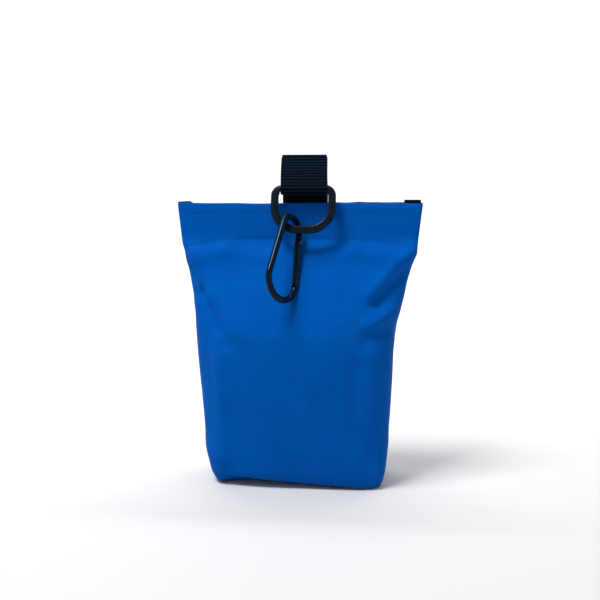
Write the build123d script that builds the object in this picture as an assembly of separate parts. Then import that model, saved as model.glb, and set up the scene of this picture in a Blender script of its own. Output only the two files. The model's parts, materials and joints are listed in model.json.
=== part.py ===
"""Treat pouch: coated fabric bag with a taped mouth, webbing tab, D ring and mini carabiner.

Frame: origin at the centre of the bottom face, +Z up, the front faces -Y. Millimetres.
"""
import os
from math import acos, asin, atan2, cos, degrees, hypot, radians, sin

from build123d import *

# ---- bag --------------------------------------------------------------------------
POUCH_HEIGHT = 154.0
HEM_HEIGHT = 21.0
FABRIC = 0.7            # coated twill
PANEL_GAP = 0.3         # kept between the front and what it closes on
BASE_THICKNESS = 0.8
FRONT_SEAM_Z = 1.4      # the front panel's lower edge

# height, half width, half depth and corner radius of the filled bag's sections
PROFILE = [
    (0.0, 43.0, 23.5, 12.0),
    (5.0, 47.0, 26.0, 16.0),
    (18.0, 50.0, 27.5, 20.0),
    (46.0, 52.5, 28.5, 24.0),
    (74.0, 54.5, 28.5, 26.0),
    (94.0, 56.5, 24.0, 22.0),
    (106.0, 58.5, 18.5, 17.0),
    (117.0, 61.0, 12.0, 10.5),
    (127.0, 64.0, 6.4, 5.2),
    (POUCH_HEIGHT - HEM_HEIGHT, 65.5, 3.9, 3.1),
    (POUCH_HEIGHT, 67.5, 3.1, 2.6),
]

# ---- what is sewn in --------------------------------------------------------------
FACING_WIDTH = 114.0
FACING_THICKNESS = 0.5
FACING_Y = 2.05         # middle of each facing
TAPE_WIDTH = 110.0
TAPE_HEIGHT = 16.0
HOOK_THICKNESS = 1.4
LOOP_THICKNESS = 1.7
TOP_STITCH_DROP = 5.5   # upper row of hem stitching, below the mouth edge
STITCH_ROW_WIDTH = 122.0
THREAD_WIDTH = 0.5
THREAD_PROUD = 0.25
BINDING_WIDTH = 9.0
BINDING_THICKNESS = 0.8
BINDING_PROUD = 1.9     # the side bindings stand above the mouth edge
BASE_BINDING_HEIGHT = 5.0

# ---- strap ------------------------------------------------------------------------
STRAP_X = 3.0           # the strap is sewn a little off the centre
STRAP_WIDTH = 25.0
STRAP_THICKNESS = 1.3
STRAP_Y = 4.65          # middle of the webbing where it lies on the back hem
STRAP_LOWER_END = 134.8
STRAP_BEND_Z = 153.0
STRAP_TOP = 181.0
FOLD_RADIUS = 1.5       # middle of the webbing round the fold
FOLD_GAP = 0.3
RETURN_END = (-2.6, 171.5)
BOX_STITCH = (19.0, 14.0)
TACK_WIDTH = 20.0
TACK_DISTANCES = (9.0, 10.6, 12.2)

# ---- D ring -----------------------------------------------------------------------
BAR = (-6.0, 161.7)     # Y and Z of the bar's axis
RING_HALF_WIDTH = 15.5  # to the middle of a leg
RING_DROP = 22.9        # middle of the bar to the middle of the bow
RING_TILT = 18.0        # degrees, the leaning carabiner draws the bow off the bag
RING_STOCK = 4.2        # in the ring's plane
RING_THICKNESS = 3.0
RING_TOP_RADIUS = 4.0
RING_BOW_RADIUS = 12.5
RING_EDGE = 1.1
BAR_RADIUS = 1.7
BAR_LENGTH = 26.0
BAR_CLEARANCE = 0.3

# ---- mini carabiner, drawn flat: X to the gate, Z up its length ---------------------
ROD = 3.4
HOOK_RADIUS = 6.7       # middle of the narrow end
WIDE_RADIUS = 10.8      # middle of the wide end
CARABINER_LENGTH = 50.0
HOOK_DROP = 0.2         # the hook's centre below the middle of the ring's bow
HANG_X = -6.2           # where it hangs, from the ring's middle
LEAN_FORWARD = 21.5     # degrees, it lies on the bag's upper slope
LEAN_SIDE = 2.0
TURN = 55.0             # degrees about its own length, spine to the front
RIVET_Z = -6.0
ROD_END_Z = -3.9
NOSE_Z = -31.0
GATE_END_Z = -30.65
GATE_RADIUS = 1.75
LUG_THICKNESS = 1.1
LUG_RADIUS = 1.4
LUG_FLAT = 1.2          # rivet to the flat that the follower presses on
SLOT_CLEARANCE = 0.1
RIVET_RADIUS = 0.55
RIVET_FIT = 0.04
RIVET_HEAD = (0.95, 1.85, 0.35)     # radius, distance from the middle, height
BORE_RADIUS = 1.05
BORE_TOP_Z = -7.2
BORE_END_Z = -17.2
PLUNGER_RADIUS = 0.9
PLUNGER_TOP_Z = -7.4
PLUNGER_LENGTH = 3.4
SPRING_RADIUS = 0.72
SPRING_WIRE = 0.11
SPRING_TURNS = 9
CATCH_RADIUS = 0.4
CATCH_Z = -29.9
NOSE_BLADE = 0.9


# ---- the bag ------------------------------------------------------------------------
def section(z, half_width, half_depth, radius, inset):
    """One level of the bag, a rounded rectangle."""
    width = 2 * (half_width - inset)
    depth = 2 * (half_depth - inset)
    return Pos(0, 0, z) * RectangleRounded(width, depth, radius - inset)


def bag_form(inset):
    """The filled bag's form, or the same form further in."""
    return loft([section(z, w, d, r, inset) for z, w, d, r in PROFILE], ruled=True)


def profile_at(z):
    """Half width and half depth of the bag at a height."""
    for low, high in zip(PROFILE, PROFILE[1:]):
        if low[0] <= z <= high[0]:
            share = (z - low[0]) / (high[0] - low[0])
            return tuple(low[i] + share * (high[i] - low[i]) for i in (1, 2))
    return PROFILE[-1][1:3]


def make_panels():
    """Front and back walls, open at the mouth, and the base they are sewn to."""
    outer = bag_form(0.0)
    wall = outer - bag_form(FABRIC)
    size = 400.0
    front_half = Pos(0, -size / 2 - PANEL_GAP, FRONT_SEAM_Z + size / 2) * Box(size, size, size)
    back_half = Pos(0, size / 2, BASE_THICKNESS + size / 2) * Box(size, size, size)
    floor_slab = Pos(0, 0, BASE_THICKNESS / 2) * Box(size, size, BASE_THICKNESS)
    return wall & front_half, wall & back_half, outer & floor_slab


def make_facing(side):
    """Strip turned in behind the mouth edge; side is -1 at the front, 1 at the back."""
    height = HEM_HEIGHT - 0.5
    z = POUCH_HEIGHT - 0.5 - height / 2
    return Pos(0, side * FACING_Y, z) * Box(FACING_WIDTH, FACING_THICKNESS, height)


def make_tape(side, thickness):
    """Closing tape on its facing."""
    y = side * (FACING_Y - FACING_THICKNESS / 2 - 0.05 - thickness / 2)
    z = POUCH_HEIGHT - HEM_HEIGHT + TAPE_HEIGHT / 2
    return Pos(0, y, z) * Box(TAPE_WIDTH, thickness, TAPE_HEIGHT)


def make_side_binding(side):
    """Tape folded over the raw side seam, inside the bag."""
    bottom = BASE_BINDING_HEIGHT + 2.0
    levels = [bottom] + [row[0] for row in PROFILE if row[0] > bottom]
    edge = [(profile_at(z)[0] - FABRIC - 0.2, z) for z in levels]
    top_x = edge[-1][0]
    edge.append((top_x, POUCH_HEIGHT + BINDING_PROUD))
    inner = [(x - BINDING_WIDTH, z) for x, z in reversed(edge)]
    face = make_face(Polyline(*edge, *inner, close=True))
    strip = extrude(Plane.XZ * face, amount=-BINDING_THICKNESS)
    return strip if side > 0 else mirror(strip, about=Plane.YZ)


def make_base_binding():
    """Tape over the seam round the base, inside the bag."""
    _, w, d, r = PROFILE[0]
    outer = RectangleRounded(2 * (w - 1.2), 2 * (d - 1.2), r - 1.2)
    t = BINDING_THICKNESS
    inner = RectangleRounded(2 * (w - 1.2 - t), 2 * (d - 1.2 - t), r - 1.2 - t)
    return Pos(0, 0, BASE_THICKNESS) * extrude(outer - inner, BASE_BINDING_HEIGHT)


def make_hem_stitching(side):
    """The two rows of thread that hold the facing and the tape."""
    rows = []
    for drop in (TOP_STITCH_DROP, HEM_HEIGHT - 0.4):
        z = POUCH_HEIGHT - drop
        y = side * (profile_at(z)[1] + 0.03 + THREAD_PROUD / 2)
        rows.append(Pos(0, y, z) * Box(STITCH_ROW_WIDTH, THREAD_PROUD, THREAD_WIDTH))
    return Compound(children=[row.solid() for row in rows])


# ---- strap ----------------------------------------------------------------------------
FOLD = (0.0, STRAP_TOP - STRAP_THICKNESS / 2 - FOLD_RADIUS)


def webbing_of(ribbon):
    """Webbing whose edge is drawn as a face in the YZ plane."""
    band = extrude(Plane.YZ * ribbon, amount=STRAP_WIDTH / 2, both=True)
    return Pos(STRAP_X, 0, 0) * band


def webbing(*edges):
    """Webbing that follows a middle line drawn in the YZ plane."""
    return webbing_of(trace(Wire(edges), line_width=STRAP_THICKNESS))


def tangent_point(start, centre, radius, turn):
    """Where a line from start touches a circle; turn is 1 or -1 for the side."""
    dy = start[0] - centre[0]
    dz = start[1] - centre[1]
    angle = atan2(dz, dy) + turn * acos(radius / hypot(dy, dz))
    return centre[0] + radius * cos(angle), centre[1] + radius * sin(angle)


def make_strap():
    """Webbing from its sewn end on the back hem up to the fold."""
    low = (STRAP_Y, STRAP_LOWER_END)
    bend = (STRAP_Y, STRAP_BEND_Z)
    top = (FOLD_RADIUS, FOLD[1] - FOLD_GAP)
    path = FilletPolyline(low, bend, top, radius=12.0)
    return webbing(*path.edges())


def make_strap_fold():
    """The half turn at the top of the strap."""
    arc = CenterArc(FOLD, FOLD_RADIUS, 0, 180)
    return webbing(arc.edge())


LOOP_RADIUS = BAR_RADIUS + BAR_CLEARANCE + STRAP_THICKNESS / 2
TAB_TOP = (-FOLD_RADIUS, FOLD[1] - FOLD_GAP)
TAB_TOUCH = tangent_point(TAB_TOP, BAR, LOOP_RADIUS, 1)


def beside(point, touch, grow):
    """A point moved away from the bar's middle, square to a line that touches the loop."""
    share = grow / LOOP_RADIUS
    return point[0] + (touch[0] - BAR[0]) * share, point[1] + (touch[1] - BAR[1]) * share


def make_strap_tab():
    """Webbing down from the fold, round the ring's bar and back up behind."""
    back_touch = tangent_point(RETURN_END, BAR, LOOP_RADIUS, -1)
    half = STRAP_THICKNESS / 2
    corners = {}
    for grow in (half, -half):
        corners[grow] = [
            beside(TAB_TOP, TAB_TOUCH, grow),
            beside(TAB_TOUCH, TAB_TOUCH, grow),
            (BAR[0], BAR[1] - LOOP_RADIUS - grow),
            beside(back_touch, back_touch, grow),
            beside(RETURN_END, back_touch, grow),
        ]
    edges = []
    for start, first, under, last, end in corners.values():
        edges.append(Line(start, first).edge())
        edges.append(ThreePointArc(first, under, last).edge())
        edges.append(Line(last, end).edge())
    for i in (0, -1):
        edges.append(Line(corners[half][i], corners[-half][i]).edge())
    return webbing_of(make_face(edges))


def make_strap_stitching():
    """Sewn box with a cross, on the outside of the strap's lower end."""
    width, height = BOX_STITCH
    y = STRAP_Y + STRAP_THICKNESS / 2 + 0.03 + THREAD_PROUD / 2
    z = (STRAP_LOWER_END + STRAP_BEND_Z) / 2 - 0.6
    box = Rectangle(width, height) - Rectangle(width - 2 * THREAD_WIDTH, height - 2 * THREAD_WIDTH)
    lean = degrees(atan2(height, width))
    length = hypot(width, height) - 2 * THREAD_WIDTH
    cross = [Rot(0, 0, turn) * Rectangle(length, THREAD_WIDTH) for turn in (lean, -lean)]
    pattern = extrude(box + cross, amount=THREAD_PROUD / 2, both=True)
    return Pos(STRAP_X, y, z) * Rot(90, 0, 0) * pattern


def make_tab_stitching():
    """Bar tack across the tab, above the ring."""
    run_y = TAB_TOUCH[0] - TAB_TOP[0]
    run_z = TAB_TOUCH[1] - TAB_TOP[1]
    length = hypot(run_y, run_z)
    slope = degrees(atan2(-run_y, -run_z))
    offset = STRAP_THICKNESS / 2 + 0.03 + THREAD_PROUD / 2
    bars = []
    for distance in TACK_DISTANCES:
        share = distance / length
        place = Pos(STRAP_X, TAB_TOP[0] + run_y * share, TAB_TOP[1] + run_z * share)
        bar = Pos(0, -offset, 0) * Box(TACK_WIDTH, THREAD_PROUD, THREAD_WIDTH)
        bars.append((place * Rot(-slope, 0, 0) * bar).solid())
    return Compound(children=bars)


# ---- D ring ---------------------------------------------------------------------------
def ring_outline(grow):
    """The ring's middle line as a face, made larger or smaller by grow."""
    height = RING_DROP + 2 * grow
    face = Pos(0, -RING_DROP / 2) * Rectangle(2 * (RING_HALF_WIDTH + grow), height)
    face = fillet(face.vertices().group_by(Axis.Y)[-1], RING_TOP_RADIUS + grow)
    return fillet(face.vertices().group_by(Axis.Y)[0], RING_BOW_RADIUS + grow)


def make_d_ring():
    """Flat moulded ring with a round bar for the webbing."""
    half = RING_STOCK / 2
    flat = ring_outline(half) - ring_outline(-half)
    ring = extrude(flat, amount=RING_THICKNESS / 2, both=True)
    faces = ring.faces().sort_by(Axis.Z)
    ring = fillet(faces[0].edges() + faces[-1].edges(), RING_EDGE)
    ring -= Box(BAR_LENGTH, 2 * RING_STOCK, 2 * RING_THICKNESS)
    bar = Rot(0, 90, 0) * Cylinder(BAR_RADIUS, BAR_LENGTH + 2.0)
    return Pos(STRAP_X, BAR[0], BAR[1]) * Rot(90 - RING_TILT, 0, 0) * (ring + bar)


# ---- mini carabiner -------------------------------------------------------------------
WIDE_CENTRE = (HOOK_RADIUS - WIDE_RADIUS, HOOK_RADIUS + ROD + WIDE_RADIUS - CARABINER_LENGTH)


def bow_point():
    """Where the carabiner hangs on the ring's bow."""
    flat_half = RING_HALF_WIDTH - RING_BOW_RADIUS
    angle = asin((abs(HANG_X) - flat_half) / RING_BOW_RADIUS)
    drop = RING_DROP - RING_BOW_RADIUS * (1 - cos(angle))
    tilt = radians(RING_TILT)
    return STRAP_X + HANG_X, BAR[0] - drop * sin(tilt), BAR[1] - drop * cos(tilt)


def place_carabiner(shape):
    """Move a piece drawn flat to where the carabiner hangs."""
    hang = Rot(0, LEAN_SIDE, 0) * Rot(-LEAN_FORWARD, 0, 0) * Rot(0, 0, TURN)
    return Pos(*bow_point()) * hang * Pos(0, 0, -HOOK_DROP) * shape


def make_carabiner_frame():
    """Bent rod, with a flat lug for the gate's pin and a notched nose."""
    cx, cz = WIDE_CENTRE
    span = hypot(cx, cz)
    nx = 2 * cx * cx / span**2 - 1
    nz = 2 * cx * cz / span**2
    top_touch = (HOOK_RADIUS * nx, HOOK_RADIUS * nz)
    low_touch = (cx + WIDE_RADIUS * nx, cz + WIDE_RADIUS * nz)
    path = [
        Line((HOOK_RADIUS, ROD_END_Z), (HOOK_RADIUS, 0)),
        ThreePointArc((HOOK_RADIUS, 0), (0, HOOK_RADIUS), top_touch),
        Line(top_touch, low_touch),
        ThreePointArc(low_touch, (cx, cz - WIDE_RADIUS), (HOOK_RADIUS, cz)),
    ]
    wire = Plane.XZ * Wire([part.edge() for part in path])
    rod = sweep(Pos(HOOK_RADIUS, 0, ROD_END_Z) * Circle(ROD / 2), path=wire)
    mouth = Pos(HOOK_RADIUS, 0, (NOSE_Z + ROD_END_Z) / 2) * Box(8, 8, ROD_END_Z - NOSE_Z)
    rod -= mouth
    lug_height = ROD_END_Z - RIVET_Z + 1.0
    lug = Pos(HOOK_RADIUS, 0, RIVET_Z + lug_height / 2) * Box(2 * LUG_RADIUS, LUG_THICKNESS, lug_height)
    lug += Pos(HOOK_RADIUS, 0, RIVET_Z) * Rot(90, 0, 0) * Cylinder(LUG_RADIUS, LUG_THICKNESS)
    lug -= Pos(HOOK_RADIUS, 0, RIVET_Z - LUG_FLAT - 1) * Box(8, 8, 2)
    lug -= Pos(HOOK_RADIUS, 0, RIVET_Z) * Rot(90, 0, 0) * Cylinder(RIVET_RADIUS, 4)
    outer_x = HOOK_RADIUS + CATCH_RADIUS + 0.2
    blade = Pos(outer_x + 0.4, 0, NOSE_Z + 0.85) * Box(0.8, NOSE_BLADE, 2.3)
    head = Pos(outer_x - 0.05, 0, CATCH_Z + CATCH_RADIUS + 0.4) * Box(1.7, NOSE_BLADE, 0.4)
    return place_carabiner(rod + lug + blade + head)


def make_gate_tube():
    """Straight tube, slotted for the lug and for the nose, bored for the spring."""
    top_z = RIVET_Z + GATE_RADIUS
    length = top_z - GATE_END_Z
    tube = Pos(0, 0, top_z - length / 2) * Cylinder(GATE_RADIUS, length)
    round_end = Pos(0, 0, RIVET_Z) * Rot(90, 0, 0) * Cylinder(GATE_RADIUS, 8)
    below = Pos(0, 0, RIVET_Z - 20) * Box(8, 8, 40)
    tube &= round_end + below
    tube = tube.solid()
    lug_slot_end = RIVET_Z - LUG_RADIUS - 0.4
    slot_width = LUG_THICKNESS + 2 * SLOT_CLEARANCE
    tube -= Pos(0, 0, lug_slot_end + 5) * Box(8, slot_width, 10)
    nose_slot_end = CATCH_Z + CATCH_RADIUS + 0.9
    tube -= Pos(0, 0, nose_slot_end - 5) * Box(8, NOSE_BLADE + 0.4, 10)
    tube -= Pos(0, 0, RIVET_Z) * Rot(90, 0, 0) * Cylinder(RIVET_RADIUS + RIVET_FIT, 8)
    tube -= Pos(0, 0, CATCH_Z) * Rot(90, 0, 0) * Cylinder(CATCH_RADIUS, 8)
    bore = BORE_TOP_Z - BORE_END_Z
    tube -= Pos(0, 0, BORE_TOP_Z - bore / 2) * Cylinder(BORE_RADIUS, bore)
    return place_carabiner(Pos(HOOK_RADIUS, 0, 0) * tube)


def make_gate_rivet():
    """Hinge pin of the gate, with a low head at each end."""
    head_radius, head_distance, head_height = RIVET_HEAD
    end = head_distance + head_height
    rivet = Cylinder(RIVET_RADIUS, 2 * end)
    for side in (-1, 1):
        middle = side * (head_distance + head_height / 2)
        rivet += Pos(0, 0, middle) * Cylinder(head_radius, head_height)
    return place_carabiner(Pos(HOOK_RADIUS, 0, RIVET_Z) * Rot(90, 0, 0) * rivet)


def make_catch_pin():
    """Cross pin that drops into the nose's notch."""
    pin = Rot(90, 0, 0) * Cylinder(CATCH_RADIUS, 2 * GATE_RADIUS - 0.4)
    return place_carabiner(Pos(HOOK_RADIUS, 0, CATCH_Z) * pin)


def make_plunger():
    """Follower that presses on the lug's flat."""
    middle = PLUNGER_TOP_Z - PLUNGER_LENGTH / 2
    body = Pos(0, 0, middle) * Cylinder(PLUNGER_RADIUS, PLUNGER_LENGTH)
    body = chamfer(body.edges().group_by(Axis.Z)[-1], 0.25)
    return place_carabiner(Pos(HOOK_RADIUS, 0, 0) * body)


def make_gate_spring():
    """Compression spring behind the follower."""
    top = PLUNGER_TOP_Z - PLUNGER_LENGTH - SPRING_WIRE - 0.05
    bottom = BORE_END_Z + SPRING_WIRE + 0.05
    height = top - bottom
    helix = Helix(height / SPRING_TURNS, height, SPRING_RADIUS)
    wire_section = Plane(origin=helix @ 0, z_dir=helix % 0) * Circle(SPRING_WIRE)
    coil = sweep(wire_section, path=helix, is_frenet=True)
    return place_carabiner(Pos(HOOK_RADIUS, 0, bottom) * coil)


# ---- all the pieces -------------------------------------------------------------------
def make_pieces():
    """Every piece under its node's name."""
    front_panel, back_panel, bottom_panel = make_panels()
    return {
        "front_panel": front_panel,
        "back_panel": back_panel,
        "bottom_panel": bottom_panel,
        "front_facing": make_facing(-1),
        "back_facing": make_facing(1),
        "hook_tape": make_tape(-1, HOOK_THICKNESS),
        "loop_tape": make_tape(1, LOOP_THICKNESS),
        "left_seam_binding": make_side_binding(-1),
        "right_seam_binding": make_side_binding(1),
        "base_seam_binding": make_base_binding(),
        "front_hem_stitching": make_hem_stitching(-1),
        "back_hem_stitching": make_hem_stitching(1),
        "strap": make_strap(),
        "strap_fold": make_strap_fold(),
        "strap_tab": make_strap_tab(),
        "strap_stitching": make_strap_stitching(),
        "tab_stitching": make_tab_stitching(),
        "d_ring": make_d_ring(),
        "carabiner_frame": make_carabiner_frame(),
        "gate_tube": make_gate_tube(),
        "gate_rivet": make_gate_rivet(),
        "gate_catch_pin": make_catch_pin(),
        "gate_plunger": make_plunger(),
        "gate_spring": make_gate_spring(),
    }


if __name__ == "__main__":
    os.makedirs("parts", exist_ok=True)
    for name, piece in make_pieces().items():
        export_step(piece, f"parts/{name}.step")
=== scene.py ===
"""Treat pouch: coated bag, taped mouth, webbing tab, D ring and mini carabiner, in metres."""
import json
import math

import bmesh
import bpy
import numpy as np
from mathutils import Matrix, Vector, noise


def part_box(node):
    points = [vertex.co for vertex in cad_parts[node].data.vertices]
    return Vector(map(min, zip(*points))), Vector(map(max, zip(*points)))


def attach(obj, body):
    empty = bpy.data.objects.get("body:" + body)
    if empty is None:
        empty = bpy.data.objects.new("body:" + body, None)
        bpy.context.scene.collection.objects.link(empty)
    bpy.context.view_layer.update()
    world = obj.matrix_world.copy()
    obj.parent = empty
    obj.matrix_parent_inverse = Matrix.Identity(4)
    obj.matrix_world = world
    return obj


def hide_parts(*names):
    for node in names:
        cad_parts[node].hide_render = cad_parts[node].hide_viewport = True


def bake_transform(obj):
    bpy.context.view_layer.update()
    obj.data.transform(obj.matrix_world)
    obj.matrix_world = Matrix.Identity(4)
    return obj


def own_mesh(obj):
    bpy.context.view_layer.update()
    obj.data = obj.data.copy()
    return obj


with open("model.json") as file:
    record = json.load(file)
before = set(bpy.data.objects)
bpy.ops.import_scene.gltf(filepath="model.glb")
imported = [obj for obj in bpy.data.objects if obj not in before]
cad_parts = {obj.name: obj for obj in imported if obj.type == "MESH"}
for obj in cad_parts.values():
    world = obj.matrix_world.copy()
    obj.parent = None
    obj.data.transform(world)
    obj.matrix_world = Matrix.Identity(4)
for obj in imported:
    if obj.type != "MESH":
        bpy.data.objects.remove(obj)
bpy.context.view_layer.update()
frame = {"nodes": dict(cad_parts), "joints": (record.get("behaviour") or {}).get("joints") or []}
scene = bpy.context.scene
MM = 0.001


# ---- shader maths ------------------------------------------------------------------------
class Value:
    """A socket of a finish, which takes part in sums."""

    def __init__(self, finish, socket):
        self.finish = finish
        self.socket = socket

    def sum(self, operation, *parts):
        return self.finish.node("ShaderNodeMath", dict(operation=operation), parts)

    def __add__(self, other):
        return self.sum("ADD", self, other)

    def __sub__(self, other):
        return self.sum("SUBTRACT", self, other)

    def __rsub__(self, other):
        return self.sum("SUBTRACT", other, self)

    def __mul__(self, other):
        return self.sum("MULTIPLY", self, other)

    __radd__ = __add__
    __rmul__ = __mul__

    def sine(self):
        return self.sum("SINE", self)

    def held(self, low, high):
        """How far the value is from low to high, 0 to 1."""
        settings = dict(interpolation_type="SMOOTHSTEP")
        return self.finish.node("ShaderNodeMapRange", settings, (self, low, high))


class Finish:
    """A material in the making, built up node by node."""

    def __init__(self, name):
        self.material = bpy.data.materials.new(name)
        self.material.use_nodes = True
        self.tree = self.material.node_tree
        self.tree.nodes.clear()

    def node(self, kind, settings=None, sockets=(), output=0):
        """One node: its settings first, then its sockets, by order or by name."""
        made = self.tree.nodes.new(kind)
        for key, value in (settings or {}).items():
            setattr(made, key, value)
        named = sockets.items() if isinstance(sockets, dict) else enumerate(sockets)
        for key, value in named:
            if isinstance(value, Value):
                self.tree.links.new(value.socket, made.inputs[key])
            elif value is not None:
                made.inputs[key].default_value = value
        return Value(self, made.outputs[output]) if made.outputs else None

    def along(self):
        """The piece's own flat coordinates, in millimetres: both, across and up."""
        flat = self.node("ShaderNodeUVMap", dict(uv_map="UVMap"))
        parts = [self.node("ShaderNodeSeparateXYZ", None, (flat,), i) for i in range(2)]
        return flat, parts[0], parts[1]

    def place(self):
        """Where a point is on the piece, in metres."""
        return self.node("ShaderNodeTexCoord", output=3)

    def grain(self, place, scale, detail=3.0, roughness=0.55):
        """Soft random patches, 0 to 1."""
        sockets = {"Vector": place, "Scale": scale, "Detail": detail, "Roughness": roughness}
        return self.node("ShaderNodeTexNoise", None, sockets)

    def blend(self, share, first, second):
        """A colour between two."""
        sockets = {0: share, 6: (*first, 1.0), 7: (*second, 1.0)}
        return self.node("ShaderNodeMix", dict(data_type="RGBA"), sockets, output=2)

    def relief(self, height, depth, strength=1.0):
        """Bumps of a height in metres."""
        sockets = {"Height": height, "Distance": depth, "Strength": strength}
        return self.node("ShaderNodeBump", None, sockets)

    def surface(self, **sockets):
        """Close the material with its shader."""
        named = {key.replace("_", " "): value for key, value in sockets.items()}
        for key in ("Sheen Tint", "Specular Tint"):
            if key in named:
                named[key] = (*named[key], 1.0)
        shader = self.node("ShaderNodeBsdfPrincipled", None, named)
        self.node("ShaderNodeOutputMaterial", None, {"Surface": shader})
        return self.material


FULL_TURN = 2 * math.pi
TWILL_PITCH = 1.35      # mm between the cloth's diagonal lines
THREAD_PITCH = 0.42     # mm between its single threads
RIB_PITCH = 1.75        # mm between the webbing's ribs
PLY_PITCH = 0.55        # mm between the stitching thread's plies


def waves(value, pitch):
    """Even lines along a flat coordinate, 0 in the hollows and 1 on the crests."""
    return (value * (FULL_TURN / pitch)).sine() * 0.5 + 0.5


def coated_twill(name, light, dark, gloss=0.56):
    """Tight diagonal twill under a thin coating, with faint shade changes across the cloth."""
    finish = Finish(name)
    flat, across, up = finish.along()
    drift = finish.grain(flat, 0.18, 2.0) - 0.5
    ridges = waves(across - up * 0.95 + drift * 0.5, TWILL_PITCH)
    threads = waves(across + up * 0.55, THREAD_PITCH)
    patches = finish.grain(flat, 0.035, 4.0, 0.6)
    specks = finish.grain(flat, 1.4, 2.0, 0.6)
    wear_and_highlight = 0.45 + patches * 0.55
    tone = 0.5 + (ridges - 0.5) * wear_and_highlight * 0.56 + (patches - 0.5) * 0.25 + (specks - 0.5) * 0.22
    tone = tone + (threads - 0.5) * 0.08
    colour = finish.blend(tone, dark, light)
    rough = gloss + (1 - ridges) * 0.10 + (patches - 0.5) * 0.12
    height = ridges * 0.62 + threads * 0.18 + specks * 0.2
    return finish.surface(
        Base_Color=colour, Roughness=rough, Normal=finish.relief(height, 0.00012, 0.8),
        Sheen_Weight=0.02, Sheen_Roughness=0.4, Sheen_Tint=(0.0, 0.35, 1.0),
        IOR=1.22, Specular_IOR_Level=0.08, Specular_Tint=(0.1, 0.55, 1.0),
    )


def woven_tape(name, light, dark, pitch, cross, rough=0.62):
    """Tape or webbing woven in ribs across its length."""
    finish = Finish(name)
    flat, across, up = finish.along()
    wander = finish.grain(flat, 0.5, 2.0) - 0.5
    ribs = waves(up + wander * 0.12, pitch)
    picks = (across * (FULL_TURN / cross) + ribs * 1.6).sine() * 0.5 + 0.5
    fibres = finish.grain(flat, 3.2, 3.0, 0.7)
    tone = ribs * 0.42 + picks * 0.26 + fibres * 0.32
    colour = finish.blend(tone.held(0.36, 0.82), dark, light)
    height = ribs * 0.5 + picks * 0.32 + fibres * 0.18
    return finish.surface(
        Base_Color=colour, Roughness=rough - ribs * 0.12,
        Normal=finish.relief(height, 0.00018, 0.8),
        IOR=1.2, Specular_IOR_Level=0.15, Specular_Tint=(0.2, 0.5, 1.0),
    )


def twisted_thread(name, light, dark):
    """Stitching thread with its plies."""
    finish = Finish(name)
    flat, across, up = finish.along()
    plies = waves(across * 1.2 + up, PLY_PITCH)
    fuzz = finish.grain(finish.place(), 2600.0, 2.0)
    colour = finish.blend(plies * 0.65 + fuzz * 0.35, dark, light)
    return finish.surface(
        Base_Color=colour, Roughness=0.55 - plies * 0.1,
        Normal=finish.relief(plies, 0.00008, 0.6), Specular_IOR_Level=0.1,
    )


def hook_nap(name, light, dark, scale):
    """Closing tape: a dense field of hooks or loops."""
    finish = Finish(name)
    place = finish.place()
    tufts = finish.node("ShaderNodeTexVoronoi", None, {"Vector": place, "Scale": scale})
    fuzz = finish.grain(place, scale * 1.7, 4.0, 0.7)
    height = (1 - tufts) * 0.6 + fuzz * 0.4
    colour = finish.blend(height.held(0.3, 0.9), dark, light)
    return finish.surface(
        Base_Color=colour, Roughness=0.72, Normal=finish.relief(height, 0.0003, 0.9),
        IOR=1.25,
    )


def moulded_plastic(name, base, wear_and_highlight):
    """Satin moulded nylon with a fine texture, and a painted highlight that colours its edges a
    little lighter.
    """
    finish = Finish(name)
    place = finish.place()
    texture = finish.grain(place, 2400.0, 3.0, 0.6)
    clouds = finish.grain(place, 120.0, 4.0, 0.6)
    edge = finish.node("ShaderNodeNewGeometry", output=7)
    # painted highlight: the sharp edges, in patches, take the lighter colour where light would
    # catch them
    edge_highlight_and_wear = edge.held(0.50, 0.60) * clouds.held(0.3, 0.7)
    colour = finish.blend(edge_highlight_and_wear * 0.7 + clouds * 0.15, base, wear_and_highlight)
    rough = 0.24 + clouds * 0.10 + edge_highlight_and_wear * 0.06
    return finish.surface(
        Base_Color=colour, Roughness=rough, Normal=finish.relief(texture, 0.00003, 0.4),
        IOR=1.28, Specular_IOR_Level=0.5, Specular_Tint=(0.5, 0.8, 1.0),
    )


def anodised(name, base, wear_and_highlight):
    """Black anodised aluminium: a thin hard skin, faint drawing lines, bright where its edges
    wear in patches.
    """
    finish = Finish(name)
    place = finish.place()
    skin = finish.grain(place, 5000.0, 2.0, 0.5)
    clouds = finish.grain(place, 220.0, 4.0, 0.6)
    edge = finish.node("ShaderNodeNewGeometry", output=7)
    edge_highlight_and_wear = edge.held(0.60, 0.75) * clouds.held(0.50, 0.80)
    colour = finish.blend(edge_highlight_and_wear * 0.6 + clouds * 0.2, base, wear_and_highlight)
    return finish.surface(
        Base_Color=colour, Metallic=edge_highlight_and_wear * 0.8,
        Roughness=0.15 + clouds * 0.08,
        Normal=finish.relief(skin, 0.000002, 0.15),
        IOR=1.3, Specular_IOR_Level=0.5, Specular_Tint=(0.25, 0.55, 1.0),
    )


def bright_steel(name):
    """Turned steel, darkened in use."""
    finish = Finish(name)
    place = finish.place()
    turned = finish.node("ShaderNodeVectorMath", dict(operation="MULTIPLY"), (place, (1, 1, 9)))
    lines = finish.grain(turned, 1800.0, 3.0, 0.6)
    stains = finish.grain(place, 400.0, 4.0, 0.6)
    colour = finish.blend(stains, (0.10, 0.10, 0.11), (0.26, 0.26, 0.28))
    return finish.surface(
        Base_Color=colour, Metallic=1.0, Roughness=0.22 + lines * 0.14,
        Normal=finish.relief(lines, 0.00001, 0.3),
    )


def pale_paper(name):
    """The table's plain pale top."""
    finish = Finish(name)
    place = finish.place()
    tooth = finish.grain(place, 900.0, 3.0)
    clouds = finish.grain(place, 3.0, 2.0)
    colour = finish.blend(clouds, (0.58, 0.585, 0.59), (0.61, 0.61, 0.61))
    return finish.surface(
        Base_Color=colour, Roughness=0.75, Normal=finish.relief(tooth, 0.00003, 0.2),
    )


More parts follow.
